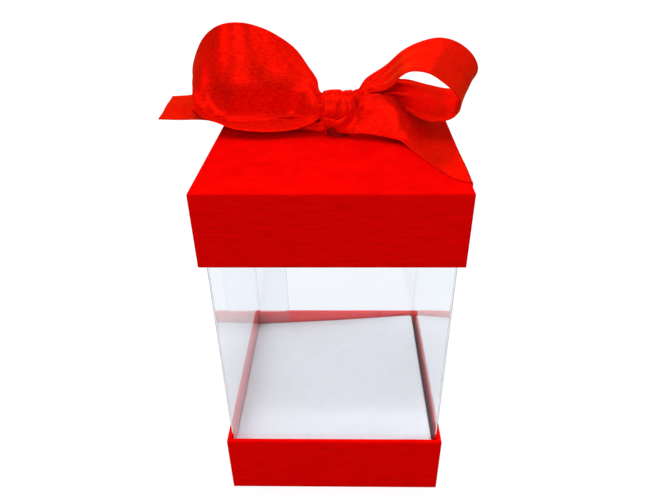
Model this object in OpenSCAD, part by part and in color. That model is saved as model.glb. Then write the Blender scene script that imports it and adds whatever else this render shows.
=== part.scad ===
// Tall favor box: a clear creased sleeve stands in a paper-covered tray,
// a matching lid caps it, and a tied satin bow is stuck to the lid.
// +Z is up, the front faces -Y, and the origin is the centre of the foot.

/* [Sleeve] */
// Outside width of the square sleeve
sleeve_w = 76; // [72:0.5:110]
// Height of the sleeve
sleeve_h = 125.3; // [90:0.1:200]
// Thickness of the clear sheet
film_t = 0.3; // [0.2:0.05:0.5]
// Outside radius of the creased corners
crease_r = 0.8; // [0.6:0.1:1.5]
// Width of the glue flap behind the back panel
flap_w = 15; // [8:0.5:20]
// Thickness of the glue line on the flap
flap_glue_t = 0.1; // [0.05:0.05:0.2]

/* [Board and paper] */
// Thickness of the grey board
board_t = 1.1; // [0.8:0.1:2]
// Thickness of the covering paper with its glue
wrap_t = 0.25; // [0.2:0.05:0.4]
// Outside radius of the covered corners
wrap_corner_r = 0.6; // [0.4:0.1:1]
// How far the paper turns in over the rims
turn_in = 15; // [8:0.5:20]
// Thickness of the corner stay tape
stay_t = 0.1; // [0.05:0.05:0.15]
// Length of each leg of a corner stay
stay_leg = 12; // [6:0.5:18]

/* [Base tray] */
// Outside height of the tray
base_h = 26.5; // [22:0.5:40]
// Gap between the sleeve and the tray's lining, each side
base_gap = 0.2; // [0.15:0.05:0.5]

/* [Lid] */
// Outside height of the lid
lid_h = 24.5; // [20:0.5:40]
// Gap between the sleeve and the lid's lining, each side
lid_gap = 0.4; // [0.2:0.05:0.8]

/* [Card insert] */
// Thickness of the white card
card_t = 0.6; // [0.4:0.05:1]
// Gap between the insert and the sleeve, each side
insert_gap = 1.3; // [1.1:0.1:2]
// Height of the insert's flanges
insert_h = 19.1; // [10:0.1:20]
// How far the right edge sits up when the insert rests askew
insert_rise = 4.6; // [0:0.1:5]
// Gap cut between the flanges at each corner
corner_notch = 1; // [0.7:0.1:3]

/* [Ribbon bow] */
// Width of the ribbon
ribbon_w = 38; // [36:0.5:40]
// Thickness of the ribbon
ribbon_t = 0.5; // [0.3:0.05:0.6]
// Width of the knot along the bow
knot_w = 11.6; // [9:0.2:15]
// Diameter of the knot
knot_d = 12; // [11:0.2:13]
// How far the knot sits behind the middle of the lid
knot_back = 8.5; // [6:0.5:10]
// How far the knot sits right of the middle of the lid
knot_right = 1.8; // [0:0.2:3]
// Height of the pleats where the ribbon is gathered
pleat_h = 0.9; // [0:0.1:1.1]
// Number of pleats across the ribbon
pleats = 2; // [1:1:3]
// Thickness of the glue pad under the knot
pad_t = 3.4; // [3:0.1:4.4]
// Diameter of the glue pad
pad_d = 8; // [6:0.5:10]

/* [Hidden] */
$fn = 48;
over = 1;                               // overrun of every cut

wall = board_t + 2 * wrap_t;            // paper, board and turned-in paper
floor_t = board_t + wrap_t;             // paper and board
base_w = sleeve_w + 2 * (base_gap + wall);
lid_w = sleeve_w + 2 * (lid_gap + wall);
box_h = floor_t + sleeve_h + floor_t;   // the sleeve spans from floor to lid
sleeve_in = sleeve_w - 2 * film_t;

flap_y = sleeve_w / 2 - film_t - flap_glue_t;   // outer face of the flap
glue_edge = film_t + crease_r;          // bare film beside the glue line
glue_end = wall;                        // bare film above and below it

insert_w = sleeve_in - 2 * insert_gap;
insert_tilt = asin(insert_rise / insert_w);
insert_shift = insert_h * sin(insert_tilt) / 2 - insert_w * (1 - cos(insert_tilt)) / 2;

// The knot is pressed a little flat on its pad, narrows to its side faces, and
// has soft folds running round it. Shares are of its diameter or of its radius.
knot_press_share = 0.03;
knot_taper_share = 0.07;
knot_fold_share = 0.02;
knot_folds = 3;
knot_steps = 16;
knot_z = box_h + pad_t + knot_d * (0.5 - knot_press_share);

root_gap = 0.5;                        // ribbon ends to the knot's side faces
rest_gap = 0.3;                         // draped ribbon to the lid
root_x = knot_w / 2 + root_gap;
drape = ribbon_t / 2 + rest_gap;        // middle of the ribbon to what it lies on
lid_edge = lid_w / 2;
rows_per_station = 4;
ribbon_cells = 8;

// Loop and tail edges as shares of the ribbon's width: out from the knot's
// side face, back from the knot's axis and up from it. Each row holds the
// front edge and the back edge.
left_loop_shares = [
    [[0.00, -0.13, -0.03], [0.00, 0.04, 0.14]],
    [[0.04, -0.13, -0.03], [0.04, 0.05, 0.15]],
    [[0.06, -0.11, -0.10], [0.11, 0.36, 0.27]],
    [[0.14, -0.11, -0.13], [0.23, 0.55, 0.38]],
    [[0.25, -0.13, -0.16], [0.35, 0.57, 0.48]],
    [[0.43, -0.18, -0.16], [0.51, 0.46, 0.59]],
    [[0.61, -0.18, -0.15], [0.69, 0.37, 0.66]],
    [[0.79, -0.16, -0.13], [0.88, 0.40, 0.64]],
    [[0.92, -0.12, -0.10], [1.06, 0.58, 0.54]],
    [[1.02, -0.16, -0.04], [1.18, 0.69, 0.40]],
    [[1.11, -0.13, 0.03], [1.29, 0.75, 0.16]],
    [[1.10, -0.08, -0.03], [1.28, 0.80, -0.01]],
    [[0.95, -0.02, -0.06], [1.10, 0.83, -0.05]],
    [[0.71, 0.00, -0.08], [0.84, 0.82, -0.06]],
    [[0.46, 0.01, -0.09], [0.58, 0.78, -0.07]],
    [[0.22, 0.03, -0.10], [0.30, 0.53, -0.07]],
    [[0.07, 0.03, -0.09], [0.09, 0.17, -0.08]],
    [[0.03, 0.02, -0.09], [0.04, 0.11, -0.08]],
    [[0.00, 0.02, -0.09], [0.00, 0.11, -0.08]]
];
right_loop_shares = [
    [[0.00, 0.00, -0.05], [0.00, 0.11, -0.03]],
    [[0.04, 0.00, -0.05], [0.04, 0.12, -0.03]],
    [[0.15, 0.03, -0.03], [0.20, 0.38, 0.12]],
    [[0.38, 0.04, 0.02], [0.46, 0.60, 0.09]],
    [[0.59, -0.29, -0.03], [0.72, 0.68, 0.02]],
    [[0.77, -0.28, -0.03], [0.97, 0.71, -0.04]],
    [[0.87, -0.23, 0.02], [1.15, 0.71, -0.01]],
    [[0.88, -0.19, 0.09], [1.21, 0.71, 0.15]],
    [[0.81, -0.23, 0.19], [1.15, 0.71, 0.29]],
    [[0.71, -0.25, 0.28], [0.98, 0.68, 0.41]],
    [[0.59, -0.28, 0.36], [0.79, 0.65, 0.47]],
    [[0.45, -0.28, 0.38], [0.61, 0.62, 0.44]],
    [[0.36, -0.25, 0.34], [0.44, 0.57, 0.36]],
    [[0.26, -0.19, 0.23], [0.29, 0.46, 0.25]],
    [[0.12, -0.03, 0.16], [0.12, 0.32, 0.17]],
    [[0.04, -0.03, 0.10], [0.04, 0.11, 0.11]],
    [[0.00, -0.03, 0.10], [0.00, 0.11, 0.11]]
];
// The same for the left tail, but up from where a ribbon lies on the lid
left_tail_shares = [
    [[0.00, -0.02, 0.05], [0.00, 0.05, 0.05]],
    [[0.16, 0.01, 0.04], [0.18, 0.28, 0.04]],
    [[0.54, 0.05, 0.02], [0.61, 0.62, 0.02]],
    [[0.86, 0.02, 0.09], [1.02, 0.79, 0.07]],
    [[1.08, -0.04, 0.13], [1.28, 0.87, 0.10]],
    [[1.25, -0.07, 0.14], [1.43, 0.87, 0.09]],
    [[1.44, -0.09, 0.15], [1.58, 0.87, 0.08]]
];

// A place on the bow from shares, on the side given by -1 or 1, its height
// counted from the knot's axis or from where a ribbon lies on the lid
function share_point(side, s, z) = [
    knot_right + side * (root_x + s[0] * ribbon_w),
    knot_back + s[1] * ribbon_w,
    z + s[2] * ribbon_w
];
function bow_point(side, s) = share_point(side, s, knot_z);
function lid_point(side, s) = share_point(side, s, box_h + drape);
function bow_rows(side, shares) = [for (row = shares) [for (s = row) bow_point(side, s)]];
function lid_rows(side, shares) = [for (row = shares) [for (s = row) lid_point(side, s)]];

// The draped tail is laid out flat, as if the lid's top ran on past its right
// edge, and is then rolled over that edge. A flat place is [across, back, height
// over the lid].
function flat(p) = p - [0, 0, box_h];
function flat_root(row) = [flat(lid_point(1, row[0])), flat(bow_point(1, row[1])), flat(lid_point(1, row[2]))];
function flat_drape(s) = [
    lid_edge + s[0] * ribbon_w,
    s[1] * ribbon_w,
    drape + s[2] * ribbon_w
];
function rolled(p) =
    let (past = p[0] - lid_edge, height = p[2], bend = height * PI / 2, turn = 90 * past / bend)
    past <= 0 ? [p[0], p[1], box_h + height]
    : past < bend ? [lid_edge + height * sin(turn), p[1], box_h + height * cos(turn)]
    : [lid_edge + height, p[1], box_h - (past - bend)];

// Where the tail leaves the knot it stands up in a soft ridge. Each row holds
// the front edge, the ridge and the back edge. The edges are placed as on the
// left tail and the ridge as on the loops.
tail_root_shares = [
    [[0.00, -0.19, 0.04], [0.00, -0.11, 0.07], [0.00, -0.04, 0.07]],
    [[0.05, -0.19, 0.04], [0.05, -0.11, 0.09], [0.05, -0.04, 0.07]],
    [[0.16, -0.22, 0.04], [0.20, -0.11, 0.14], [0.17, -0.02, 0.06]],
    [[0.28, -0.28, 0.04], [0.33, -0.13, 0.09], [0.34, 0.03, 0.05]],
    [[0.39, -0.34, 0.02], [0.46, -0.13, -0.07], [0.58, 0.35, 0.03]]
];
// The same lines past that: out from the lid's right edge, back from the
// middle and up from where it lies, as shares of the ribbon's width
tail_drape_shares = [
    [[-0.38, -0.25, 0.01], [-0.21, 0.10, 0.04], [-0.03, 0.68, 0.02]],
    [[-0.29, -0.46, 0.00], [-0.08, -0.03, 0.01], [0.10, 0.46, 0.01]],
    [[-0.21, -0.65, 0.00], [-0.01, -0.21, 0.01], [0.20, 0.24, 0.01]],
    [[-0.10, -0.83, 0.01], [0.10, -0.40, 0.01], [0.33, 0.05, 0.01]],
    [[0.08, -0.90, 0.01], [0.25, -0.45, 0.01], [0.46, 0.01, 0.01]],
    [[0.25, -0.90, 0.01], [0.42, -0.45, 0.01], [0.63, 0.01, 0.01]]
];
flat_tail_rows = concat(
    [for (row = tail_root_shares) flat_root(row)],
    [for (row = tail_drape_shares) [for (s = row) flat_drape(s)]]
);

// Smooth curve through a list of points or of rows of points
function before(p) = 2 * p[0] - p[1];
function after(p) = 2 * p[len(p) - 1] - p[len(p) - 2];
function pick(p, i) = i < 0 ? before(p) : i > len(p) - 1 ? after(p) : p[i];
function blend(a, b, c, d, s) = (2 * b + (c - a) * s + (2 * a - 5 * b + 4 * c - d) * s * s
    + (3 * b - a - 3 * c + d) * s * s * s) / 2;
function on_curve(p, u) =
    let (i = min(floor(u), len(p) - 2))
    blend(pick(p, i - 1), p[i], p[i + 1], pick(p, i + 2), u - i);
function smooth(p, steps) = [for (k = [0:steps]) on_curve(p, k * (len(p) - 1) / steps)];

function unit(v) = v / norm(v);
function width_of(row) = norm(row[len(row) - 1] - row[0]);
function gathered(row) = max(0, 1 - width_of(row) / ribbon_w);

// Middle sheet of a ribbon, its normals and its pleats
function ribbon_grid(rows) =
    [for (row = smooth(rows, rows_per_station * (len(rows) - 1))) smooth(row, ribbon_cells)];
function normal_at(g, i, j) =
    let (along = g[min(i + 1, len(g) - 1)][j] - g[max(i - 1, 0)][j],
         across = g[i][min(j + 1, ribbon_cells)] - g[i][max(j - 1, 0)])
    unit(cross(along, across));
function pleat_at(g, i, j) =
    pleat_h * gathered(g[i]) * sin(360 * pleats * j / ribbon_cells);
function side_points(g, off) = [
    for (i = [0:len(g) - 1], j = [0:ribbon_cells])
        g[i][j] + normal_at(g, i, j) * (pleat_at(g, i, j) + off)
];

module ribbon(g) {
    last = len(g) - 1;
    m = ribbon_cells;
    n = (last + 1) * (m + 1);
    function top(i, j) = i * (m + 1) + j;
    function low(i, j) = n + top(i, j);
    function quad(a, b, c, d) = [[a, b, d], [b, c, d]];
    faces = [
        for (i = [0:last - 1], j = [0:m - 1])
            each quad(top(i, j), top(i, j + 1), top(i + 1, j + 1), top(i + 1, j)),
        for (i = [0:last - 1], j = [0:m - 1])
            each quad(low(i, j), low(i + 1, j), low(i + 1, j + 1), low(i, j + 1)),
        for (i = [0:last - 1]) each quad(top(i, 0), top(i + 1, 0), low(i + 1, 0), low(i, 0)),
        for (i = [0:last - 1]) each quad(top(i + 1, m), top(i, m), low(i, m), low(i + 1, m)),
        for (j = [0:m - 1]) each quad(top(0, j + 1), top(0, j), low(0, j), low(0, j + 1)),
        for (j = [0:m - 1]) each quad(top(last, j), top(last, j + 1), low(last, j + 1), low(last, j))
    ];
    polyhedron(concat(side_points(g, ribbon_t / 2), side_points(g, -ribbon_t / 2)), faces);
}

// Square with round corners, centred, made of true arcs
module rounded_square(w, r) {
    square([w - 2 * r, w], center = true);
    square([w, w - 2 * r], center = true);
    for (x = [-1, 1], y = [-1, 1])
        translate([x * (w / 2 - r), y * (w / 2 - r)]) circle(r);
}

module square_block(w, z0, z1) {
    translate([-w / 2, -w / 2, z0]) cube([w, w, z1 - z0]);
}

// Covered tray, open upwards, standing on z = 0
module tray_board(w, h) {
    difference() {
        square_block(w - 2 * wrap_t, wrap_t, h - wrap_t);
        square_block(w - 2 * (wrap_t + board_t), floor_t, h + over);
    }
}

module tray_stays(w, h) {
    difference() {
        square_block(w - 2 * (wrap_t - stay_t), floor_t, h - wrap_t);
        square_block(w - 2 * wrap_t, 0, h);
        for (turn = [0, 90])
            rotate(turn) translate([-w, -(w / 2 - stay_leg), 0])
                cube([2 * w, w - 2 * stay_leg, h]);
    }
}

module tray_wrap(w, h) {
    difference() {
        linear_extrude(h) rounded_square(w, wrap_corner_r);
        square_block(w - 2 * wrap_t, wrap_t, h - wrap_t);
        square_block(w - 2 * wall, floor_t, h + over);
        tray_stays(w, h);
    }
    difference() {
        square_block(w - 2 * (wrap_t + board_t), h - turn_in, h);
        square_block(w - 2 * wall, 0, h + over);
    }
}

module upside_down(z) {
    translate([0, 0, z]) rotate([180, 0, 0]) children();
}

module base_board() { color("tan") tray_board(base_w, base_h); }
module base_stays() { color("wheat") tray_stays(base_w, base_h); }
module base_wrap() { color("red") tray_wrap(base_w, base_h); }
module lid_board() { color("tan") upside_down(box_h) tray_board(lid_w, lid_h); }
module lid_stays() { color("wheat") upside_down(box_h) tray_stays(lid_w, lid_h); }
module lid_wrap() { color("red") upside_down(box_h) tray_wrap(lid_w, lid_h); }

// Quarter of a creased film corner, between +X and +Y
module crease() {
    intersection() {
        difference() {
            circle(crease_r);
            circle(crease_r - film_t);
        }
        square(crease_r);
    }
}

// One sheet: flap, left, front, right and back panels, in that order
module sleeve_section() {
    half = sleeve_w / 2;
    straight = half - crease_r;
    for (turn = [0, -90, 180])
        rotate(turn) translate([straight, straight]) crease();
    translate([-straight, flap_y - crease_r]) rotate(90) crease();
    translate([-straight, -half]) square([2 * straight, film_t]);
    translate([half - film_t, -straight]) square([film_t, 2 * straight]);
    translate([-half, half - film_t]) square([half + straight, film_t]);
    translate([-half, -straight]) square([film_t, straight + flap_y - crease_r]);
    translate([-straight, flap_y - film_t]) square([flap_w - crease_r, film_t]);
}

module sleeve() {
    color("lightcyan", 0.4) translate([0, 0, floor_t]) linear_extrude(sleeve_h) sleeve_section();
}

module flap_glue() {
    color("ivory")
        translate([glue_edge - sleeve_w / 2, flap_y, floor_t + glue_end])
            cube([flap_w - 2 * glue_edge, flap_glue_t, sleeve_h - 2 * glue_end]);
}

// White card false floor: a platform with four folded flanges
module insert_square() {
    translate([-insert_w / 2, -insert_w / 2, insert_h - card_t]) cube([insert_w, insert_w, card_t]);
    for (turn = [0:90:270])
        rotate(turn)
            translate([corner_notch - insert_w / 2, -insert_w / 2, 0])
                cube([insert_w - 2 * corner_notch, card_t, insert_h - card_t]);
}

module insert() {
    color("white")
        translate([insert_shift - insert_w / 2, 0, floor_t])
            rotate([0, -insert_tilt, 0])
                translate([insert_w / 2, 0, 0]) insert_square();
}

module glue_pad() {
    color("gainsboro") translate([knot_right, knot_back, box_h]) cylinder(d = pad_d, h = pad_t);
}

// Knot radius along its width, from -1 at one side face to 1 at the other
function knot_radius(s) = knot_d / 2 * (1 - knot_taper_share * s * s
    - knot_fold_share * (1 - cos(180 * knot_folds * (s + 1))));
knot_profile = [
    [0, -knot_w / 2],
    for (k = [0:knot_steps]) let (s = 2 * k / knot_steps - 1) [knot_radius(s), s * knot_w / 2],
    [0, knot_w / 2]
];

module knot() {
    color("crimson") difference() {
        translate([knot_right, knot_back, knot_z])
            rotate([0, 90, 0]) rotate_extrude() polygon(knot_profile);
        square_block(lid_w, box_h - over, box_h + pad_t);
    }
}

module bow_stretch(rows) { color("crimson") ribbon(ribbon_grid(rows)); }
module left_loop() { bow_stretch(bow_rows(-1, left_loop_shares)); }
module right_loop() { bow_stretch(bow_rows(1, right_loop_shares)); }
module left_tail() { bow_stretch(lid_rows(-1, left_tail_shares)); }
module right_tail() {
    color("crimson") ribbon([for (row = ribbon_grid(flat_tail_rows)) [for (p = row) rolled(p)]]);
}

base_board();
base_stays();
base_wrap();
sleeve();
flap_glue();
insert();
lid_board();
lid_stays();
lid_wrap();
glue_pad();
knot();
left_loop();
right_loop();
left_tail();
right_tail();
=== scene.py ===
"""Looks of a favor box: clear sleeve in a red paper tray, matching lid and a tied satin bow."""

import math

import bmesh
import bpy
import numpy as np
from mathutils import Matrix, Vector, noise


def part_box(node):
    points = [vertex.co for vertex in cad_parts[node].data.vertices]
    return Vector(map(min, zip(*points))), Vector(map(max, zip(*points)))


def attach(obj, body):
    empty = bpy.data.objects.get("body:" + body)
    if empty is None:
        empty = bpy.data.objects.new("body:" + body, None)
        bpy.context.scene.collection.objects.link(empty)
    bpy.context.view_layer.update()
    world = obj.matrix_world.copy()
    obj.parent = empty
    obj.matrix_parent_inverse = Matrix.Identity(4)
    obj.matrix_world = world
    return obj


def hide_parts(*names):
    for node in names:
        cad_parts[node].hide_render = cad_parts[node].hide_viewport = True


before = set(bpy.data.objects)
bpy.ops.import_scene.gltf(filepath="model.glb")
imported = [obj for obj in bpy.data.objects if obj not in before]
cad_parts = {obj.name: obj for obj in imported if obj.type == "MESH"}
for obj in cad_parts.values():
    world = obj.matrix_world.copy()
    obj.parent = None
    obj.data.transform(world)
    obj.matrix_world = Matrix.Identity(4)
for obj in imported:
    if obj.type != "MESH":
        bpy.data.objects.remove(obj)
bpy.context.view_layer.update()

MM = 0.001
QUARTER_TURN = math.pi / 2

# Camera, from the fit to the box's corners in the photograph
SENSOR_MM = 36.0
LENS_MM = 30.17
CAMERA_AT = Vector((0.003528, -0.179104, 0.195345))
CAMERA_YAW = -0.0195966
CAMERA_PITCH = 0.547320
CAMERA_ROLL = -0.0107162
CLIP_NEAR = 10 * MM
CLIP_FAR = 20

# Board and paper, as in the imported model
PAPER_T = 0.25 * MM
BOARD_T = 1.1 * MM
TURN_IN = 15 * MM
# Rounding of the covered corners, of the folds over the rims and of corners inside
CORNER_R = 0.35 * MM
EDGE_R = 0.5 * MM
INNER_R = 0.15 * MM
# The turn-in's cut edge slants by this much, over this share of the paper's thickness
CUT_SLANT = 0.05 * MM
CUT_SHARE = 0.95
# Rings of points up the outside and down the turn-in
SIDE_RINGS = 12
TURN_IN_RINGS = 6

# Clear sleeve
FILM_T = 0.3 * MM
CREASE_R = 0.8 * MM
CREASE_STEPS = 10
FLAP_W = 15 * MM
FLAP_STEPS = 6
FLAP_GLUE_T = 0.1 * MM
# Width of the milky line along the flap's cut edge
SCORE_W = 0.15 * MM
# How far each panel bows outwards
PANEL_BOW = 0.12 * MM
PANEL_STEPS = 18

# Card insert
CARD_T = 0.6 * MM
CARD_H = 19.1 * MM
CARD_RISE = 4.6 * MM
CARD_FOLD_R = 0.5 * MM
# How far the flanges spring out on each side, and how far one corner curls up
CARD_SLACK = 1.0 * MM
CARD_CURL = 0.9 * MM
# Squares across the platform, and rings of points down a flange
CARD_STEPS = 16
FLANGE_RINGS = 6
# Points of the card closer together than this are one
CARD_MERGE = 1e-7

# Satin ribbon, and the length of each stretch along its middle
RIBBON_W = 38 * MM
RIBBON_T = 0.34 * MM
# Points across the ribbon, and rows of points from one row of shares to the next
ACROSS = 40
STATIONS = 10
TAIL_STATIONS = 14
# Woven selvedge: its width, where points lie on it, and the ridge along it as
# shares of the ribbon's thickness and of the selvedge's width
SELVEDGE_W = 0.9 * MM
SELVEDGE_POINT_SHARES = (0.18, 0.45, 0.75, 1.0)
RIDGE_SHARE = 0.45
RIDGE_AT_SHARE = 0.55
RIDGE_SPREAD_SHARE = 0.3
# Share of the thickness lost at the very edge, and how far in from it, as a share
# of the selvedge's width
EDGE_LOSS_SHARE = 0.65
EDGE_LOSS_W_SHARE = 0.12
# Pleats where the ribbon is gathered: their number across it, their height, how fast
# they fade as it widens, and the smaller pleat beside each one
PLEATS = 2.5
PLEAT_H = 1.5 * MM
PLEAT_FADE = 1.25
SIDE_PLEAT_SHARE = 0.3
SIDE_PLEAT_LEAD = 1.1
# Slow ripples: their height, their length along the ribbon, their number across it
# and the place in the noise where they are read
RIPPLE_H = 0.3 * MM
RIPPLE_L = 16 * MM
RIPPLES_ACROSS = 2.6
RIPPLE_PLACE = 3.7
# Gap between the knot's side and the first row of each ribbon's shares
ROOT_GAP = 0.5 * MM
# Height of the right tail's middle layer over the lid that it lies on
DRAPE = 0.24 * MM

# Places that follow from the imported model
knot_low, knot_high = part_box("knot")
KNOT_R = (knot_high.y - knot_low.y) / 2
KNOT_HALF_W = (knot_high.x - knot_low.x) / 2
KNOT_AT = Vector((
    (knot_low.x + knot_high.x) / 2,
    (knot_low.y + knot_high.y) / 2,
    knot_high.z - KNOT_R,
))
ROOT_X = KNOT_HALF_W + ROOT_GAP
lid_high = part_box("lid_wrap")[1]
LID_TOP = lid_high.z
LID_EDGE = lid_high.x

# Light: the world's strength as a lamp, in reflections, and where the camera sees it
WORLD_LIGHT = 0.2
WORLD_MIRRORED = 0.28
WORLD_SEEN = 1.0
# How much the floor glows where the camera sees it, and how far it reaches
FLOOR_GLOW = 0.86
FLOOR_REACH = 4.0
# Each lamp's height and place round the box in degrees, its spread and its strength
SUNS = {
    "key": (76, -14, 8, 0.65),
    "top": (84, 170, 24, 0.45),
    "left": (38, -98, 40, 1.0),
    "right": (38, 98, 40, 0.95),
    "back": (27, 176, 36, 1.0),
    "front": (20, -12, 40, 1.3),
}
# Enough for a lamp's light to cross every wall of the sleeve, the flap and the glue
CLEAR_CROSSINGS = 24


# Nodes

def new_material(name):
    """An empty material with its output, ready for shaders."""
    mat = bpy.data.materials.new(name)
    mat.use_nodes = True
    mat.node_tree.nodes.clear()
    add(mat, "ShaderNodeOutputMaterial")
    return mat


def add(owner, kind, **values):
    """A node in a material or world; values are its inputs by name, with _ for a space."""
    node = owner.node_tree.nodes.new(kind)
    for key, value in values.items():
        node.inputs[key.replace("_", " ")].default_value = value
    return node


def link(owner, source, target):
    """Joins a node's output to another node's input."""
    owner.node_tree.links.new(source, target)


def finish_with(mat, shader):
    """Makes the shader the material's surface."""
    link(mat, shader.outputs[0], mat.node_tree.nodes["Material Output"].inputs["Surface"])
    return mat


def object_place(mat):
    """The point's place in the object, in metres."""
    return add(mat, "ShaderNodeTexCoord").outputs["Object"]


def grain(mat, coordinates, scale, stretch=(1, 1, 1), detail=4.0, rough=0.55):
    """Noise over coordinates that are first scaled by stretch, one factor an axis."""
    mapping = add(mat, "ShaderNodeMapping", Scale=stretch)
    link(mat, coordinates, mapping.inputs["Vector"])
    texture = add(mat, "ShaderNodeTexNoise", Scale=scale, Detail=detail, Roughness=rough)
    link(mat, mapping.outputs[0], texture.inputs["Vector"])
    return texture.outputs["Fac"]


def between(mat, factor, low, high):
    """Maps a factor from 0.3 to 0.7 onto low to high."""
    ranged = add(mat, "ShaderNodeMapRange", From_Min=0.3, From_Max=0.7, To_Min=low, To_Max=high)
    link(mat, factor, ranged.inputs["Value"])
    return ranged.outputs[0]


def colour_mix(mat, blend):
    """A node that mixes two colours in that way."""
    mix = add(mat, "ShaderNodeMix")
    mix.data_type = "RGBA"
    mix.blend_type = blend
    return mix


def two_colours(mat, fleck, first, second):
    """A colour that wanders from the first to the second with the noise."""
    mix = colour_mix(mat, "MIX")
    mix.inputs["A"].default_value = (*first, 1)
    mix.inputs["B"].default_value = (*second, 1)
    link(mat, between(mat, fleck, 0, 1), mix.inputs["Factor"])
    return mix.outputs["Result"]


def bumped(mat, height, depth, strength=1.0, under=None):
    """Fine relief of that depth, on top of another where under is given."""
    bump = add(mat, "ShaderNodeBump", Strength=strength, Distance=depth)
    link(mat, height, bump.inputs["Height"])
    if under is not None:
        link(mat, under, bump.inputs["Normal"])
    return bump.outputs[0]


def shader_mix(owner, factor, first, second):
    """Two shaders mixed: the first where the factor is 0, the second where it is 1."""
    mix = add(owner, "ShaderNodeMixShader")
    link(owner, factor, mix.inputs[0])
    link(owner, first.outputs[0], mix.inputs[1])
    link(owner, second.outputs[0], mix.inputs[2])
    return mix


def lamps_pass(mat, shader, tint):
    """The shader, with the lamps' light passing straight through it in that tint."""
    through = add(mat, "ShaderNodeBsdfTransparent", Color=(*tint, 1))
    path = add(mat, "ShaderNodeLightPath")
    return shader_mix(mat, path.outputs["Is Shadow Ray"], shader, through)


def seen_straight(owner, path):
    """1 for what the camera sees directly or through the film, 0 for light that was scattered."""
    eye = add(owner, "ShaderNodeMath")
    eye.operation = "MAXIMUM"
    link(owner, path.outputs["Is Camera Ray"], eye.inputs[0])
    link(owner, path.outputs["Is Transmission Ray"], eye.inputs[1])
    straight = add(owner, "ShaderNodeMath")
    straight.operation = "SUBTRACT"
    straight.use_clamp = True
    link(owner, eye.outputs[0], straight.inputs[0])
    link(owner, path.outputs["Diffuse Depth"], straight.inputs[1])
    return straight.outputs[0]


# Materials

def red_paper():
    """Covering paper: fine tooth, faint fibres that run along the sheet, slightly uneven red."""
    mat = new_material("red_paper")
    place = object_place(mat)
    fibres = grain(mat, place, scale=900, stretch=(0.14, 0.14, 1.0), detail=5.0)
    clouds = grain(mat, place, scale=45, detail=2.0)
    tooth = grain(mat, place, scale=5200, detail=2.0)
    colour = colour_mix(mat, "MULTIPLY")
    colour.inputs["Factor"].default_value = 1
    link(mat, two_colours(mat, fibres, (0.76, 0.0008, 0.0006), (0.91, 0.0017, 0.0008)), colour.inputs["A"])
    link(mat, two_colours(mat, clouds, (0.965, 0.93, 0.93), (1, 1, 1)), colour.inputs["B"])
    paper = add(mat, "ShaderNodeBsdfPrincipled", Specular_IOR_Level=0.0)
    link(mat, colour.outputs["Result"], paper.inputs["Base Color"])
    link(mat, between(mat, clouds, 0.56, 0.68), paper.inputs["Roughness"])
    coarse = bumped(mat, fibres, 0.03 * MM)
    link(mat, bumped(mat, tooth, 0.012 * MM, under=coarse), paper.inputs["Normal"])
    return finish_with(mat, paper)


def satin():
    """Woven satin: threads along the ribbon spread its highlight across, over a deep red body."""
    mat = new_material("satin")
    cloth = add(mat, "ShaderNodeUVMap").outputs["UV"]
    threads = grain(mat, cloth, scale=5200, stretch=(1.0, 0.035, 1.0), detail=3.0)
    slubs = grain(mat, cloth, scale=1300, stretch=(1.0, 0.35, 1.0), rough=0.65)
    clouds = grain(mat, cloth, scale=120, stretch=(1.0, 0.5, 1.0), detail=2.0)
    body = two_colours(mat, slubs, (0.66, 0.0008, 0.0010), (0.94, 0.010, 0.0015))
    sheen = add(
        mat, "ShaderNodeBsdfPrincipled",
        Metallic=0.45, Specular_IOR_Level=0.0, Specular_Tint=(1.0, 0.14, 0.02, 1), Anisotropic=0.25,
        Sheen_Weight=0.3, Sheen_Roughness=0.3, Sheen_Tint=(1.0, 0.16, 0.02, 1),
    )
    link(mat, body, sheen.inputs["Base Color"])
    link(mat, between(mat, clouds, 0.40, 0.52), sheen.inputs["Roughness"])
    across = add(mat, "ShaderNodeTangent")
    across.direction_type = "UV_MAP"
    link(mat, across.outputs[0], sheen.inputs["Tangent"])
    weave = bumped(mat, threads, 0.02 * MM, strength=0.7)
    link(mat, bumped(mat, slubs, 0.045 * MM, under=weave), sheen.inputs["Normal"])
    return finish_with(mat, sheen)


def clear_film():
    """Clear sheet with a faint cool tint. Rays from the lamps pass straight through it."""
    mat = new_material("clear_film")
    sheet = add(
        mat, "ShaderNodeBsdfPrincipled",
        Base_Color=(0.937, 0.955, 0.98, 1), Transmission_Weight=1.0, Roughness=0.015, IOR=1.5,
    )
    return finish_with(mat, lamps_pass(mat, sheet, (0.965, 0.972, 0.985)))


def film_crease():
    """The sheet where it is cut or scored to fold: slightly milky, so that it shows as a fine line."""
    mat = new_material("film_crease")
    score = add(
        mat, "ShaderNodeBsdfPrincipled",
        Base_Color=(0.66, 0.67, 0.72, 1), Transmission_Weight=1.0, Roughness=0.12, IOR=1.5,
    )
    return finish_with(mat, lamps_pass(mat, score, (0.9, 0.9, 0.92)))


def matt_material(name, flecks, first, second, relief, depth, **values):
    """A rough material in two close colours; flecks and relief are grain's values for each noise."""
    mat = new_material(name)
    place = object_place(mat)
    shader = add(mat, "ShaderNodeBsdfPrincipled", **values)
    colour = two_colours(mat, grain(mat, place, **flecks), first, second)
    link(mat, colour, shader.inputs["Base Color"])
    link(mat, bumped(mat, grain(mat, place, **relief), depth), shader.inputs["Normal"])
    return finish_with(mat, shader)


def white_card():
    """Smooth white card with a soft surface and a trace of grey mottling."""
    return matt_material(
        "white_card", dict(scale=260, detail=5.0), (0.775, 0.772, 0.80), (0.815, 0.812, 0.835),
        dict(scale=4200, detail=2.0), 0.01 * MM, Roughness=0.5, Specular_IOR_Level=0.3,
    )


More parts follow.
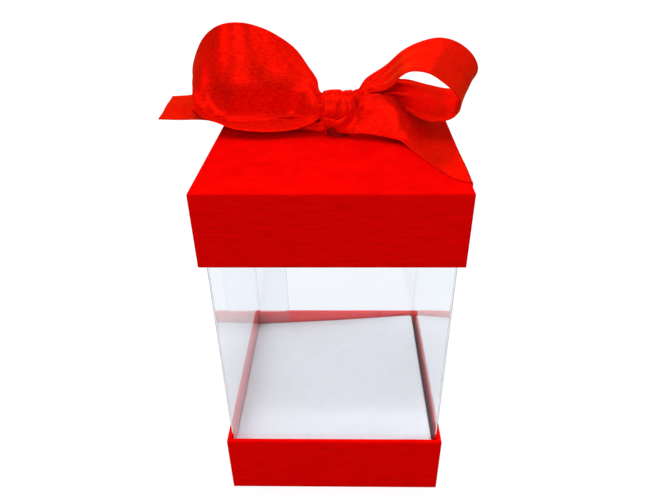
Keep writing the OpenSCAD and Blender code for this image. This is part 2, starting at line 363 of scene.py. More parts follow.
def grey_board():
    """Recycled grey board, with dark and pale flecks."""
    return matt_material(
        "board", dict(scale=1500, detail=6.0, rough=0.75), (0.36, 0.34, 0.31), (0.60, 0.57, 0.52),
        dict(scale=2600, stretch=(0.3, 1, 1), detail=3.0), 0.03 * MM,
        Roughness=0.85, Specular_IOR_Level=0.2,
    )


def kraft_tape():
    """Brown paper tape that closes the board's corners, with fibres along it."""
    fibres = dict(scale=1800, stretch=(1, 1, 0.25))
    return matt_material(
        "stay_tape", fibres, (0.42, 0.27, 0.13), (0.58, 0.40, 0.21), fibres, 0.02 * MM,
        Roughness=0.6, Specular_IOR_Level=0.3,
    )


def shadow_dark_pad_glue():
    """Set glue under the knot, with small bubbles, painted dark red as painted shade so that it merges
    into the shadow under the bow.
    """
    bubbles = dict(scale=1400, detail=3.0)
    return matt_material(
        # Both colours are painted shade: a dark red that stands in for the shadow under the knot.
        "shadow_dark_pad_glue", bubbles, (0.22, 0.002, 0.002), (0.30, 0.004, 0.004), bubbles, 0.05 * MM,
        Roughness=0.5, Specular_IOR_Level=0.02,
    )


def flap_adhesive():
    """Clear adhesive between the flap and the back panel, with a faint uneven haze."""
    mat = new_material("flap_adhesive")
    haze = grain(mat, object_place(mat), scale=300, stretch=(1, 1, 0.3), detail=3.0)
    body = add(mat, "ShaderNodeBsdfPrincipled", Base_Color=(0.9, 0.92, 0.95, 1), Roughness=0.3)
    link(mat, between(mat, haze, 0.0, 0.015), body.inputs["Alpha"])
    return finish_with(mat, body)


# Meshes

def make_piece(name, points, faces, material, body, uvs=None, sharp_deg=40):
    """A closed mesh that rides on a body; uvs are one pair a point."""
    mesh = bpy.data.meshes.new(name)
    mesh.from_pydata([tuple(p) for p in points], [], faces)
    shell = bmesh.new()
    shell.from_mesh(mesh)
    bmesh.ops.recalc_face_normals(shell, faces=shell.faces)
    shell.to_mesh(mesh)
    shell.free()
    if uvs is not None:
        layer = mesh.uv_layers.new(name="UVMap")
        for loop in mesh.loops:
            layer.data[loop.index].uv = uvs[loop.vertex_index]
    mesh.polygons.foreach_set("use_smooth", [True] * len(mesh.polygons))
    mesh.set_sharp_from_angle(angle=math.radians(sharp_deg))
    mesh.materials.append(material)
    piece = bpy.data.objects.new(name, mesh)
    bpy.context.scene.collection.objects.link(piece)
    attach(piece, body)
    return piece


def arc(centre, radius, start_deg, end_deg, steps=5):
    """Points of an arc about a centre, in its own plane."""
    angles = np.radians(np.linspace(start_deg, end_deg, steps + 1))
    return [(centre[0] + radius * math.cos(a), centre[1] + radius * math.sin(a)) for a in angles]


def quarter_turned(point, quarters):
    """The point turned by that many quarters about the upright axis."""
    x, y, z = point
    c, s = math.cos(quarters * QUARTER_TURN), math.sin(quarters * QUARTER_TURN)
    return (x * c - y * s, x * s + y * c, z)


def smooth_rows(rows, steps):
    """Smooth curve through rows of points, with that many steps from one row to the next."""
    rows = np.asarray(rows, float)
    ends = np.concatenate([[2 * rows[0] - rows[1]], rows, [2 * rows[-1] - rows[-2]]])
    u = np.linspace(0, len(rows) - 1, steps * (len(rows) - 1) + 1)
    i = np.minimum(u.astype(int), len(rows) - 2)
    s = (u - i)[:, None, None]
    a, b, c, d = (ends[i + k] for k in range(4))
    return (2 * b + (c - a) * s + (2 * a - 5 * b + 4 * c - d) * s ** 2
            + (3 * b - a - 3 * c + d) * s ** 3) / 2


def grid_normals(grid):
    """Unit normals of a sheet at each of its points."""
    along = np.gradient(grid, axis=0)
    across = np.gradient(grid, axis=1)
    n = np.cross(along, across)
    return n / np.linalg.norm(n, axis=2, keepdims=True)


def two_sides(first, second):
    """The points of a sheet's two sides in one list."""
    return np.concatenate([first.reshape(-1, 3), second.reshape(-1, 3)])


def shell_faces(rows, columns, closed=False):
    """Faces of a sheet with two sides; the second side's points follow the first's."""
    low = rows * columns
    faces = []
    spans = rows if closed else rows - 1
    for i in range(spans):
        k = (i + 1) % rows
        for j in range(columns - 1):
            a, b = i * columns + j, k * columns + j
            faces.append((a, b, b + 1, a + 1))
            faces.append((low + a, low + a + 1, low + b + 1, low + b))
        a, b = i * columns, k * columns
        faces.append((a, low + a, low + b, b))
        a, b = a + columns - 1, b + columns - 1
        faces.append((a, b, low + b, low + a))
    if not closed:
        last = (rows - 1) * columns
        for j in range(columns - 1):
            faces.append((j, j + 1, low + j + 1, low + j))
            a = last + j
            faces.append((a, low + a, low + a + 1, a + 1))
    return faces


# Ribbon

def edge_spaced(count):
    """Places across the ribbon from 0 to 1, closer together at both selvedges."""
    edge = np.array(SELVEDGE_POINT_SHARES) * (SELVEDGE_W / RIBBON_W)
    inner = np.linspace(0, 1, count + 1 - 2 * len(edge))
    return np.unique(np.concatenate([inner, edge, 1 - edge]))


def half_thickness(t):
    """Half the ribbon's thickness at places across it, fuller along the woven selvedges."""
    from_edge = np.minimum(t, 1 - t) * RIBBON_W
    from_ridge = from_edge / SELVEDGE_W - RIDGE_AT_SHARE
    ridge = RIDGE_SHARE * np.exp(-(from_ridge / RIDGE_SPREAD_SHARE) ** 2)
    rounding = 1 - EDGE_LOSS_SHARE * np.exp(-from_edge / (EDGE_LOSS_W_SHARE * SELVEDGE_W))
    return RIBBON_T / 2 * (1 + ridge) * rounding


def across_rows(rows, t):
    """Points at places t across each row, on a soft curve through the row's points."""
    if rows.shape[1] == 2:
        return rows[:, :1] * (1 - t)[None, :, None] + rows[:, 1:] * t[None, :, None]
    out = np.zeros((len(rows), len(t), 3))
    for i, row in enumerate(rows):
        span = np.linalg.norm(np.diff(row, axis=0), axis=1)
        knots = np.concatenate([[0], np.cumsum(span)]) / span.sum()
        step = np.diff(knots)
        slope = np.diff(row, axis=0) / step[:, None]
        tangent = np.concatenate([slope[:1], (slope[:-1] + slope[1:]) / 2, slope[-1:]])
        k = np.clip(np.searchsorted(knots, t, side="right") - 1, 0, len(row) - 2)
        s = ((t - knots[k]) / step[k])[:, None]
        h = step[k][:, None]
        out[i] = ((1 + 2 * s) * (1 - s) ** 2 * row[k] + s * (1 - s) ** 2 * h * tangent[k]
                  + s ** 2 * (3 - 2 * s) * row[k + 1] - s ** 2 * (1 - s) * h * tangent[k + 1])
    return out


def ribbon_relief(t, along, gathered, pleats, pleat_h, cup, ripple_h, phase):
    """Height over the sheet: pleats where it is gathered, a cup across it and slow ripples."""
    turn = 2 * np.pi * pleats * t + phase
    crest = np.sin(turn) + SIDE_PLEAT_SHARE * np.sin(2 * turn + SIDE_PLEAT_LEAD + phase)
    height = pleat_h * gathered[:, None] ** PLEAT_FADE * crest[None, :]
    height += cup * (1 - gathered[:, None]) * 4 * (t * (1 - t))[None, :]
    for i, v in enumerate(along):
        for j, u in enumerate(t):
            place = Vector((u * RIPPLES_ACROSS, v / RIPPLE_L, RIPPLE_PLACE + phase))
            height[i, j] += ripple_h * noise.noise(place)
    return height


def ribbon_piece(name, rows, node, pleats=PLEATS, pleat_h=PLEAT_H,
                 cup=0.0, ripple_h=RIPPLE_H, phase=0.0, place=None, stations=STATIONS):
    """One stretch of ribbon through rows of points, pleated where it is gathered."""
    t = edge_spaced(ACROSS)
    grid = across_rows(smooth_rows(rows, stations), t)
    width = np.linalg.norm(np.diff(grid, axis=1), axis=2).sum(axis=1)
    gathered = np.clip(1 - width / RIBBON_W, 0, 1)
    if place is not None:
        grid = np.array([[place(p) for p in row] for row in grid])
    step = np.linalg.norm(np.diff(grid.mean(axis=1), axis=0), axis=1)
    along = np.concatenate([[0], np.cumsum(step)])

    height = ribbon_relief(t, along, gathered, pleats, pleat_h, cup, ripple_h, phase)
    sheet = grid + grid_normals(grid) * height[:, :, None]
    off = grid_normals(sheet) * half_thickness(t)[None, :, None]
    points = two_sides(sheet + off, sheet - off)
    uv = [(u * RIBBON_W, v) for v in along for u in t]
    piece = make_piece(name, points, shell_faces(*sheet.shape[:2]), SATIN, "lid", uv + uv)
    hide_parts(node)
    return piece


# Loop and tail edges as shares of the ribbon's width: out from the knot's side
# face, back from the knot's axis and up from it. A row of two holds the front and
# the back edge. On the left loop the second point is where the front lip rolls over
# and the third is on the leaf's swell.
LEFT_LOOP_SHARES = [
    [[0.000, -0.129, -0.027], [0.000, -0.108, 0.052], [0.000, -0.049, 0.085], [0.000, 0.039, 0.136]],
    [[0.010, -0.118, -0.053], [0.033, -0.051, 0.037], [0.031, -0.008, 0.118], [0.028, 0.118, 0.217]],
    [[0.058, -0.113, -0.096], [0.096, -0.022, 0.008], [0.099, 0.023, 0.137], [0.105, 0.335, 0.275]],
    [[0.139, -0.112, -0.133], [0.170, 0.041, -0.044], [0.190, 0.058, 0.166], [0.221, 0.486, 0.391]],
    [[0.247, -0.126, -0.164], [0.268, 0.070, -0.078], [0.297, 0.046, 0.189], [0.344, 0.462, 0.500]],
    [[0.429, -0.176, -0.164], [0.445, 0.029, -0.088], [0.465, -0.026, 0.225], [0.498, 0.353, 0.609]],
    [[0.615, -0.177, -0.154], [0.633, 0.007, -0.102], [0.649, -0.062, 0.236], [0.675, 0.265, 0.674]],
    [[0.785, -0.157, -0.133], [0.805, -0.010, -0.109], [0.825, -0.034, 0.218], [0.857, 0.290, 0.661]],
    [[0.922, -0.115, -0.096], [0.947, -0.012, -0.066], [0.980, 0.090, 0.191], [1.033, 0.480, 0.561]],
    [[1.016, -0.125, -0.056], [1.041, -0.030, -0.024], [1.089, 0.151, 0.157], [1.168, 0.621, 0.409]],
    [[1.113, -0.129, 0.031], [1.138, -0.006, 0.048], [1.198, 0.296, 0.092], [1.289, 0.750, 0.157]],
    [[1.097, -0.076, -0.033], [1.122, 0.047, -0.029], [1.184, 0.349, -0.020], [1.276, 0.803, -0.006]],
    [[0.947, -0.024, -0.064], [0.969, 0.096, -0.063], [1.024, 0.389, -0.059], [1.105, 0.829, -0.054]],
    [[0.711, 0.003, -0.083], [0.729, 0.116, -0.080], [0.774, 0.396, -0.074], [0.842, 0.816, -0.064]],
    [[0.461, 0.013, -0.093], [0.477, 0.120, -0.090], [0.518, 0.383, -0.083], [0.579, 0.776, -0.072]],
    [[0.224, 0.029, -0.096], [0.235, 0.099, -0.093], [0.262, 0.270, -0.086], [0.303, 0.526, -0.075]],
    [[0.071, 0.029, -0.093], [0.073, 0.049, -0.091], [0.079, 0.098, -0.087], [0.087, 0.171, -0.080]],
    [[0.034, 0.018, -0.091], [0.035, 0.032, -0.089], [0.035, 0.064, -0.087], [0.037, 0.113, -0.083]],
    [[0.000, 0.018, -0.091], [0.000, 0.032, -0.089], [0.000, 0.064, -0.087], [0.000, 0.113, -0.083]],
]
RIGHT_LOOP_SHARES = [
    [[0.000, -0.003, -0.048], [0.000, 0.103, -0.027]],
    [[0.034, -0.003, -0.043], [0.034, 0.129, -0.012]],
    [[0.155, 0.029, -0.027], [0.197, 0.382, 0.115]],
    [[0.376, -0.029, -0.017], [0.461, 0.605, 0.094]],
    [[0.592, -0.292, -0.027], [0.721, 0.676, 0.012]],
    [[0.773, -0.277, -0.030], [0.955, 0.706, -0.036]],
    [[0.866, -0.225, 0.022], [1.120, 0.706, 0.012]],
    [[0.876, -0.194, 0.094], [1.208, 0.706, 0.146]],
    [[0.814, -0.225, 0.187], [1.145, 0.706, 0.291]],
    [[0.711, -0.246, 0.281], [0.980, 0.675, 0.415]],
    [[0.587, -0.277, 0.363], [0.794, 0.654, 0.467]],
    [[0.452, -0.277, 0.384], [0.607, 0.623, 0.436]],
    [[0.359, -0.246, 0.343], [0.442, 0.572, 0.363]],
    [[0.255, -0.194, 0.229], [0.286, 0.458, 0.250]],
    [[0.111, -0.032, 0.154], [0.111, 0.324, 0.162]],
    [[0.034, -0.029, 0.102], [0.034, 0.108, 0.112]],
    [[0.000, -0.029, 0.094], [0.000, 0.092, 0.099]],
]
LEFT_TAIL_SHARES = [
    [[0.000, -0.024, -0.175], [0.000, 0.050, -0.175]],
    [[0.158, 0.008, -0.180], [0.184, 0.276, -0.180]],
    [[0.536, 0.047, -0.197], [0.609, 0.619, -0.208]],
    [[0.859, 0.016, -0.135], [1.025, 0.785, -0.156]],
    [[1.077, -0.036, -0.093], [1.285, 0.869, -0.124]],
    [[1.254, -0.067, -0.083], [1.431, 0.869, -0.135]],
    [[1.441, -0.088, -0.072], [1.576, 0.869, -0.145]],
]
# The right tail starts as a roll under the knot and stands up in a soft ridge:
# front edge, ridge and back edge.
TAIL_ROOT_SHARES = [
    [[-0.315, 0.007, -0.193], [-0.289, -0.171, -0.045], [-0.292, -0.026, -0.188]],
    [[-0.150, -0.120, -0.196], [-0.132, -0.176, -0.049], [-0.134, -0.026, -0.188]],
    [[-0.020, -0.187, -0.177], [-0.020, -0.048, 0.072], [-0.020, -0.029, -0.154]],
    [[0.045, -0.187, -0.177], [0.064, -0.106, 0.133], [0.047, -0.029, -0.154]],
    [[0.158, -0.224, -0.180], [0.197, -0.097, 0.150], [0.171, -0.013, -0.159]],
    [[0.277, -0.275, -0.185], [0.344, -0.118, 0.112], [0.339, 0.026, -0.175]],
    [[0.385, -0.338, -0.196], [0.475, -0.134, -0.061], [0.576, 0.355, -0.193]],
]
# The same lines past that: out from the lid's right edge, back from the middle
# and up from where it lies, as shares of the ribbon's width.
TAIL_DRAPE_SHARES = [
    [[-0.379, -0.253, 0.009], [-0.211, 0.105, 0.043], [-0.026, 0.684, 0.020]],
    [[-0.289, -0.461, 0.001], [-0.079, -0.026, 0.012], [0.105, 0.461, 0.009]],
    [[-0.211, -0.645, 0.001], [-0.013, -0.211, 0.007], [0.197, 0.237, 0.009]],
    [[-0.100, -0.829, 0.001], [0.105, -0.395, 0.007], [0.329, 0.053, 0.009]],
    [[0.079, -0.895, 0.001], [0.250, -0.447, 0.007], [0.461, 0.013, 0.009]],
    [[0.250, -0.895, 0.001], [0.421, -0.447, 0.007], [0.632, 0.013, 0.009]],
]
# Past the knot's side face the ribbons narrow and run on into the knot
TUCK = 2.6 * MM
TUCK_SHARE = 0.7

# The knot's ribbon: points round it and along it, its wall, and how much thicker
# the wall is where it is bunched at both ends
KNOT_STEPS = 120
KNOT_COLUMNS = 48
KNOT_WALL_T = 1.6 * RIBBON_T
KNOT_END_T = 2.6 * MM
KNOT_END_POWER = 8
# Folds round the knot: place along it, depth, width and how far each slants, and
# how much the slants are turned apart
KNOT_FOLDS = ((0.12, 0.09, 0.13, 0.18), (-0.55, 0.035, 0.12, 0.2), (0.68, 0.035, 0.1, 0.12))
KNOT_FOLD_LEAD = 4
# As shares of its radius or half width: its crown, how far its ends draw in and
# from where, its lumps, and how its width wavers
KNOT_CROWN_SHARE = 0.03
KNOT_DRAWN_SHARE = 0.24
KNOT_DRAWN_FROM_SHARE = 0.7
KNOT_LUMP_SHARE = 0.02
KNOT_WAVER_SHARE = 0.04
KNOT_LUMPS_ROUND = 2.5
KNOT_LUMPS_ALONG = 2
KNOT_WAVER_LEAD = 0.7


def bow_point(side, share):
    """A place of the bow from its shares; side is -1 on the left and 1 on the right."""
    return np.array([
        KNOT_AT.x + side * (ROOT_X + share[0] * RIBBON_W),
        KNOT_AT.y + share[1] * RIBBON_W,
        KNOT_AT.z + share[2] * RIBBON_W,
    ])


def tucked(side, share):
    """The place inside the knot where an edge that leaves it at share begins."""
    p = bow_point(side, share)
    centre = np.array(KNOT_AT)
    return np.array([p[0] - side * TUCK, *(centre + (p - centre) * TUCK_SHARE)[1:]])


def bow_rows(side, shares, tuck_end=True):
    """Rows of points of a ribbon that starts in the knot, and ends in it too if tuck_end."""
    rows = [[tucked(side, s) for s in shares[0]]]
    rows += [[bow_point(side, s) for s in row] for row in shares]
    if tuck_end:
        rows.append([tucked(side, s) for s in shares[-1]])
    return rows


def flat_drape(share):
    """A place of the right tail laid out flat, [across, back, height over the lid]."""
    return np.array([LID_EDGE + share[0] * RIBBON_W, share[1] * RIBBON_W, DRAPE + share[2] * RIBBON_W])


def rolled(p):
    """A place laid out flat, rolled over the lid's right edge."""
    past, height = p[0] - LID_EDGE, p[2]
    bend = height * QUARTER_TURN
    if past <= 0:
        return (p[0], p[1], LID_TOP + height)
    if past < bend:
        angle = past / height
        return (LID_EDGE + height * math.sin(angle), p[1], LID_TOP + height * math.cos(angle))
    return (LID_EDGE + height, p[1], LID_TOP - (past - bend))


def flat_tail_rows():
    """Rows of points of the right tail, laid out flat for rolled."""
    lift = np.array([0, 0, LID_TOP])
    rows = [[bow_point(1, s) - lift for s in row] for row in TAIL_ROOT_SHARES]
    return rows + [[flat_drape(s) for s in row] for row in TAIL_DRAPE_SHARES]


def knot_radius_share(angle, s):
    """The knot's radius at an angle round it and a place s along it, from -1 to 1."""
    r = 1 - KNOT_CROWN_SHARE * s * s
    for at, deep, wide, slant in KNOT_FOLDS:
        middle = at + slant * math.sin(angle + KNOT_FOLD_LEAD * at)
        r -= deep * math.exp(-((s - middle) / wide) ** 2)
    past = max(0.0, abs(s) - KNOT_DRAWN_FROM_SHARE)
    r -= KNOT_DRAWN_SHARE * (past / (1 - KNOT_DRAWN_FROM_SHARE)) ** 2
    back, up = KNOT_LUMPS_ROUND * math.cos(angle), KNOT_LUMPS_ROUND * math.sin(angle)
    return r + KNOT_LUMP_SHARE * noise.noise(Vector((back, up, KNOT_LUMPS_ALONG * s)))


def knot_sheet(side_t):
    """The outside of the knot, flat where it rests on its pad."""
    sheet = np.zeros((KNOT_STEPS, len(side_t), 3))
    for i in range(KNOT_STEPS):
        angle = 2 * math.pi * i / KNOT_STEPS
        half_w = KNOT_HALF_W * (1 + KNOT_WAVER_SHARE * math.sin(2 * angle + KNOT_WAVER_LEAD))
        for j, s in enumerate(side_t):
            r = knot_radius_share(angle, s)
            sheet[i, j] = (
                KNOT_AT.x + s * half_w,
                KNOT_AT.y + math.cos(angle) * KNOT_R * r,
                max(KNOT_AT.z + math.sin(angle) * KNOT_R * r, knot_low.z),
            )
    return sheet


def knot_piece():
    """The ribbon's wrap round the middle: a hollow band with slanting folds."""
    side_t = np.linspace(-1, 1, KNOT_COLUMNS)
    sheet = knot_sheet(side_t)
    normals = grid_normals(np.concatenate([sheet[-1:], sheet, sheet[:1]]))[1:-1]
    if (normals * (sheet - np.array(KNOT_AT))).sum() < 0:
        normals = -normals
    wall = KNOT_WALL_T + KNOT_END_T * np.abs(side_t) ** KNOT_END_POWER
    points = two_sides(sheet, sheet - normals * wall[None, :, None])
    around = 2 * math.pi * KNOT_R / KNOT_STEPS
    uv = [((s + 1) * KNOT_HALF_W, i * around) for i in range(KNOT_STEPS) for s in side_t]
    faces = [f[::-1] for f in shell_faces(KNOT_STEPS, KNOT_COLUMNS, closed=True)]
    piece = make_piece("knot_band", points, faces, SATIN, "lid", uv + uv, sharp_deg=60)
    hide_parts("knot")
    return piece


def make_bow():
    """The knot, two loops and two tails; phase sets where each one's pleats and ripples start."""
    band = knot_piece()
    ribbon_piece("left_loop_ribbon", bow_rows(-1, LEFT_LOOP_SHARES), "left_loop",
                 phase=0.4)
    ribbon_piece("right_loop_ribbon", bow_rows(1, RIGHT_LOOP_SHARES), "right_loop",
                 cup=0.5 * MM, phase=2.1)
    ribbon_piece("left_tail_ribbon", bow_rows(-1, LEFT_TAIL_SHARES, tuck_end=False), "left_tail",
                 pleats=4, pleat_h=1.6 * MM, phase=1.2)
    ribbon_piece("right_tail_ribbon", flat_tail_rows(), "right_tail",
                 pleat_h=0.9 * MM, ripple_h=0.15 * MM, phase=3.3, place=rolled,
                 stations=TAIL_STATIONS)


# Paper covers

def cover_section(height):
    """Section of the paper on a tray, [in from the side, up]: bottom, side, rim, turn-in and back."""
    wall = BOARD_T + 2 * PAPER_T
    r = EDGE_R
    outside = arc((r, r), r, 270, 180)
    outside += [(0, z) for z in np.linspace(r, height - r, SIDE_RINGS)[1:-1]]
    rim = arc((r, height - r), r, 180, 90) + arc((wall - r, height - r), r, 90, 0)
    inside = [(wall, z) for z in np.linspace(height - r, height - TURN_IN, TURN_IN_RINGS)[1:]]
    under = [
        (wall - PAPER_T * CUT_SHARE, height - TURN_IN - CUT_SLANT),
        (wall - PAPER_T, height - PAPER_T),
        (PAPER_T, height - PAPER_T),
        (PAPER_T, PAPER_T),
    ]
    return outside + rim + inside + under


def square_ring(width, inset, z, corner_steps=6, side_steps=16):
    """Points round a square with round corners, at that inset from its sides."""
    half = width / 2 - inset
    r = min(max(CORNER_R - inset, INNER_R), half)
    corner = arc((half - r, half - r), r, 0, 90, corner_steps)
    side = [(x, half) for x in np.linspace(half - r, -(half - r), side_steps + 1)[1:-1]]
    return [quarter_turned((x, y, z), quarters) for quarters in range(4) for x, y in corner + side]


def paper_cover(name, node, body, flip):
    """The covering paper of the tray, or of the lid upside down, with soft folded edges."""
    low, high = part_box(node)
    width, height = high.x - low.x, high.z - low.z
    rings = [square_ring(width, inset, z) for inset, z in cover_section(height)]
    per_ring = len(rings[0])
    faces = [tuple(range(per_ring))[::-1]]
    for i in range(len(rings) - 1):
        for j in range(per_ring):
            a, b = i * per_ring + j, i * per_ring + (j + 1) % per_ring
            faces.append((a, b, b + per_ring, a + per_ring))
    last = (len(rings) - 1) * per_ring
    faces.append(tuple(range(last, last + per_ring)))
    if flip:
        points = [(x, -y, high.z - z) for ring in rings for x, y, z in ring]
    else:
        points = [(x, y, low.z + z) for ring in rings for x, y, z in ring]
    piece = make_piece(name, points, faces, RED_PAPER, body)
    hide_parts(node)
    return piece


# Clear sleeve

def panel(first, last, bow, steps=PANEL_STEPS):
    """Points between two corners seen from above, bowed outwards a little."""
    (x0, y0), (x1, y1) = first, last
    length = math.hypot(x1 - x0, y1 - y0)
    nx, ny = (y1 - y0) / length, -(x1 - x0) / length
    points = []
    for k in range(1, steps):
        share = k / steps
        out = bow * math.sin(math.pi * share)
        points.append((x0 + (x1 - x0) * share + nx * out, y0 + (y1 - y0) * share + ny * out))
    return points


def sleeve_line():
    """The sheet's middle line from above, from the flap round to the back, and its milky spans."""
    low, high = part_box("sleeve")
    half = (high.x - low.x) / 2 - FILM_T / 2
    r = CREASE_R - FILM_T / 2
    flap_y = high.y - FILM_T - FLAP_GLUE_T - FILM_T / 2
    creases = [
        arc((r - half, flap_y - r), r, 90, 180, CREASE_STEPS),
        arc((r - half, r - half), r, 180, 270, CREASE_STEPS),
        arc((half - r, r - half), r, 270, 360, CREASE_STEPS),
        arc((half - r, half - r), r, 0, 90, CREASE_STEPS),
    ]
    flap = (low.x + FLAP_W, flap_y)
    line = [flap, (flap[0] - SCORE_W, flap_y)]
    line += panel(line[-1], creases[0][0], 0, FLAP_STEPS)
    back_end = (low.x + FILM_T / 2, half)
    milky = [0]
    for k, crease in enumerate(creases):
        first, last = len(line), len(line) + len(crease) - 2
        milky += [first, first + 1, last - 1, last]
        is_back = k == len(creases) - 1
        end = back_end if is_back else creases[k + 1][0]
        line += crease + panel(crease[-1], end, 0 if is_back else PANEL_BOW)
    return np.array(line + [back_end]), milky, low.z, high.z


def film_sleeve():
    """The sleeve: one clear sheet folded round, with its flap inside the back panel."""
    line, milky, z0, z1 = sleeve_line()
    direction = np.gradient(line, axis=0)
    direction /= np.linalg.norm(direction, axis=1, keepdims=True)
    side = np.stack([direction[:, 1], -direction[:, 0]], axis=1)
    outer, inner = (
        np.array([[(x, y, z) for z in (z0, z1)] for x, y in line + side * off])
        for off in (FILM_T / 2, -FILM_T / 2)
    )
    faces = [f[::-1] for f in shell_faces(len(line), 2)]
    points = two_sides(outer, inner)
    piece = make_piece("film_sleeve", points, faces, CLEAR_FILM, "sleeve", sharp_deg=50)
    piece.data.materials.append(film_crease())
    # A span has four faces: its two sides, its top and its bottom
    for span in milky:
        for face in range(4 * span, 4 * span + 4):
            piece.data.polygons[face].material_index = 1
    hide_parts("sleeve")
    return piece


# Card insert

def flanged_card(half):
    """Middle layer of a platform with four folded flanges, half from the middle on each side."""
    flat = half - CARD_FOLD_R
    top = CARD_H - CARD_T / 2
    ticks = np.linspace(-flat, flat, CARD_STEPS + 1)
    points, faces, found = [], [], {}

    def index(p):
        """The number of that point, which is added if it is new."""
        key = tuple(round(c / CARD_MERGE) for c in p)
        if key not in found:
            found[key] = len(points)
            points.append(p)
        return found[key]

    for x0, x1 in zip(ticks, ticks[1:]):
        for y0, y1 in zip(ticks, ticks[1:]):
            corners = ((x0, y0, top), (x1, y0, top), (x1, y1, top), (x0, y1, top))
            faces.append(tuple(index(p) for p in corners))
    fall = arc((flat, top - CARD_FOLD_R), CARD_FOLD_R, 90, 0)
    fall += [(half, z) for z in np.linspace(top - CARD_FOLD_R, 0, FLANGE_RINGS)[1:]]
    for quarters in range(4):
        for (x0, z0), (x1, z1) in zip(fall, fall[1:]):
            for y0, y1 in zip(ticks, ticks[1:]):
                corners = ((x0, y0, z0), (x1, y0, z1), (x1, y1, z1), (x0, y1, z0))
                faces.append(tuple(index(quarter_turned(p, quarters)) for p in corners))
    return points, faces


def thickened(piece, thickness):
    """Gives a piece of one layer its thickness, half on each side."""
    thick = piece.modifiers.new("thickness", "SOLIDIFY")
    thick.thickness = thickness
    thick.offset = 0
    graph = bpy.context.evaluated_depsgraph_get()
    done = bpy.data.meshes.new_from_object(piece.evaluated_get(graph))
    piece.modifiers.clear()
    piece.data = done


def card_insert():
    """False floor: a platform with folded flanges, resting askew, its far right corner curled up."""
    low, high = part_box("insert")
    width = high.y - low.y + 2 * CARD_SLACK
    half = width / 2 - CARD_T / 2
    points, faces = flanged_card(half)
    lean = Matrix.Rotation(-math.asin(CARD_RISE / width), 4, "Y")
    points = [
        lean @ Vector((x, y, z + CARD_CURL * max(x, 0) * max(y, 0) / half ** 2)) for x, y, z in points
    ]
    piece = make_piece("card_insert", points, faces, WHITE_CARD, "insert", sharp_deg=50)
    thickened(piece, CARD_T)
    corners = np.array([v.co for v in piece.data.vertices])
    shift = (Vector(low) + Vector(high)) / 2 - Vector((corners.min(0) + corners.max(0)) / 2)
    piece.data.transform(Matrix.Translation(shift))
    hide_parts("insert")
    return piece


# Studio

def backdrop(world, colour, strength):
    """A world shader of one colour."""
    return add(world, "ShaderNodeBackground", Color=(*colour, 1), Strength=strength)


def white_world():
    """Soft even light: dim as a lamp and in reflections, white straight on or through the film."""
    world = bpy.data.worlds.new("studio")
    bpy.context.scene.world = world
    world.use_nodes = True
    world.node_tree.nodes.clear()
    lighting = backdrop(world, (1, 1, 1), WORLD_LIGHT)
    mirrored = backdrop(world, (0.95, 0.97, 1.0), WORLD_MIRRORED)
    seen = backdrop(world, (1, 1, 1), WORLD_SEEN)
    path = add(world, "ShaderNodeLightPath")
    lit = shader_mix(world, path.outputs["Is Glossy Ray"], lighting, mirrored)
    shown = shader_mix(world, seen_straight(world, path), lit, seen)
    out = add(world, "ShaderNodeOutputWorld")
    link(world, shown.outputs[0], out.inputs["Surface"])


def pale_floor():
    """A pale floor that shows white where it is lit and keeps the box's soft shadow."""
    mat = new_material("floor")
    diffuse = add(mat, "ShaderNodeBsdfDiffuse", Color=(0.18, 0.18, 0.185, 1))
    glow = add(mat, "ShaderNodeEmission", Color=(1, 1, 1, 1))
    amount = add(mat, "ShaderNodeMath")
    amount.operation = "MULTIPLY"
    amount.inputs[1].default_value = FLOOR_GLOW
    link(mat, seen_straight(mat, add(mat, "ShaderNodeLightPath")), amount.inputs[0])
    link(mat, amount.outputs[0], glow.inputs["Strength"])
    both = add(mat, "ShaderNodeAddShader")
    link(mat, diffuse.outputs[0], both.inputs[0])
    link(mat, glow.outputs[0], both.inputs[1])
    finish_with(mat, both)
    mesh = bpy.data.meshes.new("floor")
    corner = (FLOOR_REACH, FLOOR_REACH, 0)
    mesh.from_pydata([quarter_turned(corner, quarters) for quarters in range(4)], [], [(0, 1, 2, 3)])
    mesh.materials.append(mat)
    floor = bpy.data.objects.new("floor", mesh)
    bpy.context.scene.collection.objects.link(floor)


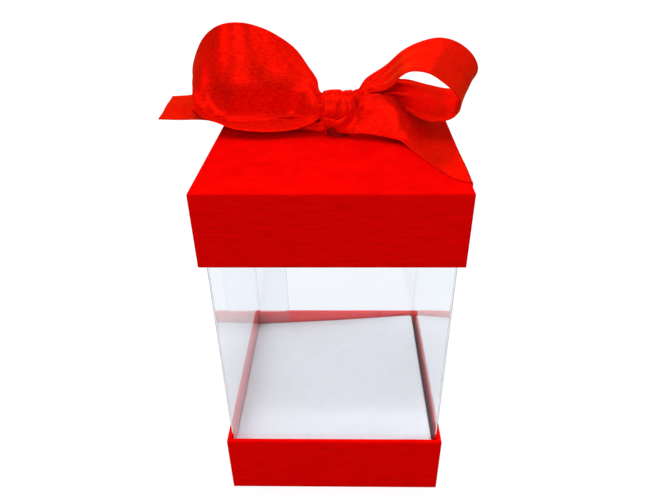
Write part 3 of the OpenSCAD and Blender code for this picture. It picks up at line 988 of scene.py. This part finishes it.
def soft_sun(name, elevation_deg, azimuth_deg, spread_deg, strength):
    """A wide soft lamp far away; azimuth 0 is the front, and it grows towards the right."""
    lamp = bpy.data.lights.new(name, "SUN")
    lamp.angle = math.radians(spread_deg)
    lamp.energy = strength
    obj = bpy.data.objects.new(name, lamp)
    up, round_it = math.radians(elevation_deg), math.radians(azimuth_deg)
    towards = Vector((math.sin(round_it) * math.cos(up), -math.cos(round_it) * math.cos(up), math.sin(up)))
    obj.rotation_euler = towards.to_track_quat("Z", "Y").to_euler()
    bpy.context.scene.collection.objects.link(obj)


def camera():
    """The photograph's camera."""
    forward = Vector((
        math.sin(CAMERA_YAW) * math.cos(CAMERA_PITCH),
        math.cos(CAMERA_YAW) * math.cos(CAMERA_PITCH),
        -math.sin(CAMERA_PITCH),
    ))
    level = Vector((math.cos(CAMERA_YAW), -math.sin(CAMERA_YAW), 0))
    upright = level.cross(forward)
    right = level * math.cos(CAMERA_ROLL) + upright * math.sin(CAMERA_ROLL)
    up = -level * math.sin(CAMERA_ROLL) + upright * math.cos(CAMERA_ROLL)
    data = bpy.data.cameras.new("camera")
    data.sensor_width = SENSOR_MM
    data.lens = LENS_MM
    data.clip_start = CLIP_NEAR
    data.clip_end = CLIP_FAR
    obj = bpy.data.objects.new("camera", data)
    turn = Matrix((right, up, -forward)).transposed()
    obj.matrix_world = Matrix.Translation(CAMERA_AT) @ turn.to_4x4()
    bpy.context.scene.collection.objects.link(obj)
    bpy.context.scene.camera = obj


def repaint(node, material):
    """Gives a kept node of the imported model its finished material."""
    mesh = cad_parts[node].data
    mesh.materials.clear()
    mesh.materials.append(material)


camera()
RED_PAPER = red_paper()
SATIN = satin()
CLEAR_FILM = clear_film()
WHITE_CARD = white_card()
BOARD = grey_board()
TAPE = kraft_tape()

make_bow()
paper_cover("tray_paper", "base_wrap", "base", flip=False)
paper_cover("lid_paper", "lid_wrap", "lid", flip=True)
film_sleeve()
card_insert()
for part in ("base", "lid"):
    repaint(part + "_board", BOARD)
    repaint(part + "_stays", TAPE)
repaint("glue_pad", shadow_dark_pad_glue())
repaint("flap_glue", flap_adhesive())

white_world()
pale_floor()
for sun_name, settings in SUNS.items():
    soft_sun(sun_name, *settings)

bpy.context.scene.view_settings.view_transform = "Standard"
bpy.context.scene.cycles.transparent_max_bounces = CLEAR_CROSSINGS
